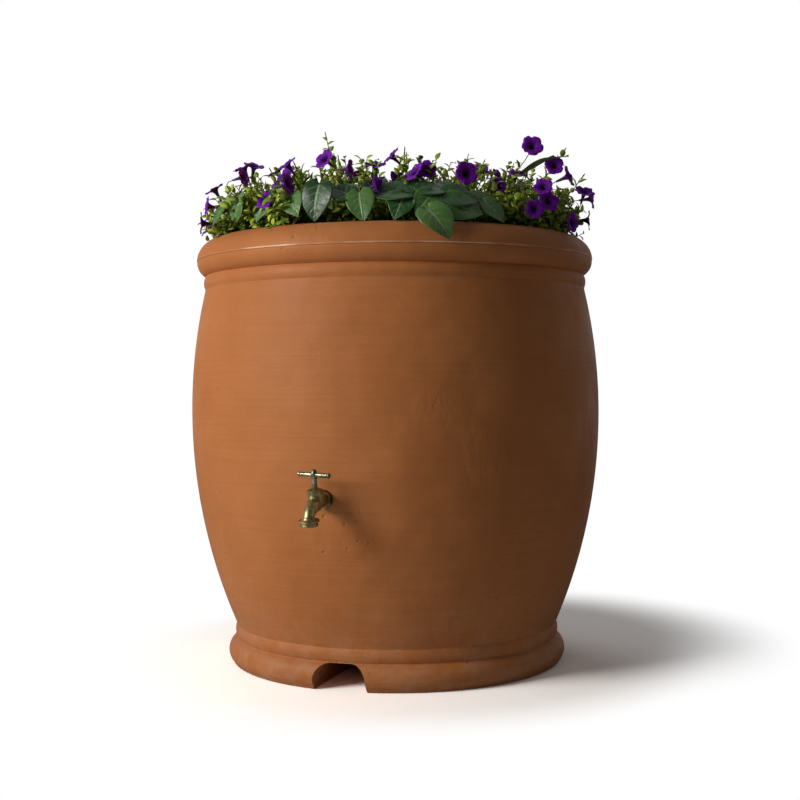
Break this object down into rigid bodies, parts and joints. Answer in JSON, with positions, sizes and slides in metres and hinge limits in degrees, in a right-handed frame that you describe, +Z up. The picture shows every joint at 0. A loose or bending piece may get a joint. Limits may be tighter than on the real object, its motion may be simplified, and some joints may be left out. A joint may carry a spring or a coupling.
{
  "type": "rain barrel",
  "caption": "Round rain barrel with a lift-off planter top full of flowers, a brass hose bibb low on its front and a hose channel through its base.",
  "frame": {"origin": "centre of the circle that the barrel stands on, at floor level", "axes": "+Z up along the barrel's axis; the hose bibb and the mouth of the hose channel face -Y; +X is to the right as seen from the front"},
  "size_m": [0.722, 0.807, 0.9118],
  "materials": {
    "terracotta": "matte, rotomoulded",
    "brass": "satin, slightly tarnished",
    "black_rubber": "matte",
    "black_plastic": "satin moulded",
    "steel_mesh": "woven wire",
    "soil": "loose potting mix",
    "petunia": "soft leaves and petals",
    "vine": "soft leaves"
  },
  "bodies": {
    "barrel": {"barrel_shell": "terracotta", "barrel_base": "terracotta", "base_recess_cup": "terracotta", "hose_channel_arch": "terracotta", "overflow_fitting": "black_plastic", "overflow_gasket": "black_rubber", "overflow_locknut": "black_plastic", "drain_fitting": "black_plastic", "drain_gasket": "black_rubber", "drain_locknut": "black_plastic", "spigot_body": "brass", "spigot_gasket": "black_rubber", "spigot_inner_washer": "brass", "spigot_locknut": "brass", "packing_nut": "brass", "stem_packing": "black_rubber"},
    "planter": {"planter_top": "terracotta", "planter_drain_strainers": "black_plastic", "potting_soil": "soil", "petunia_plants": "petunia", "trailing_vine": "vine"},
    "strainer": {"strainer_basket": "black_plastic", "strainer_mesh": "steel_mesh"},
    "valve": {"seat_washer": "black_rubber", "seat_washer_screw": "brass"},
    "stem": {"valve_stem": "brass", "tee_handle": "brass", "handle_screw": "brass"},
    "cap_washer": {"drain_cap_washer": "black_rubber"},
    "cap": {"drain_cap": "black_plastic"}
  },
  "joints": [
    {"name": "planter_lift", "type": "slide", "parent": "barrel", "child": "planter", "axis": [0, 0, 1], "range_m": [0, 0.35]},
    {"name": "strainer_lift", "type": "slide", "parent": "planter", "child": "strainer", "axis": [0, 0, 1], "range_m": [0, 0.12]},
    {"name": "valve_rise", "type": "slide", "parent": "barrel", "child": "valve", "axis": [0, -0.1349, 0.9909], "range_m": [0, 0.0066]},
    {"name": "handle_turn", "type": "hinge", "parent": "valve", "child": "stem", "pos_m": [0, -0.38806, 0.32228], "axis": [0, -0.1349, 0.9909], "range_deg": [0, 1080]},
    {"name": "cap_drop", "type": "slide", "parent": "barrel", "child": "cap_washer", "axis": [0, 0, -1], "range_m": [0, 0.0132]},
    {"name": "cap_turn", "type": "hinge", "parent": "cap_washer", "child": "cap", "pos_m": [0, 0, 0.045], "axis": [0, 0, -1], "range_deg": [0, 2160]}
  ],
  "couplings": [
    {"joint": "valve_rise", "follows": "handle_turn", "m_per_rad": 0.00035},
    {"joint": "cap_drop", "follows": "cap_turn", "m_per_rad": 0.00035}
  ]
}
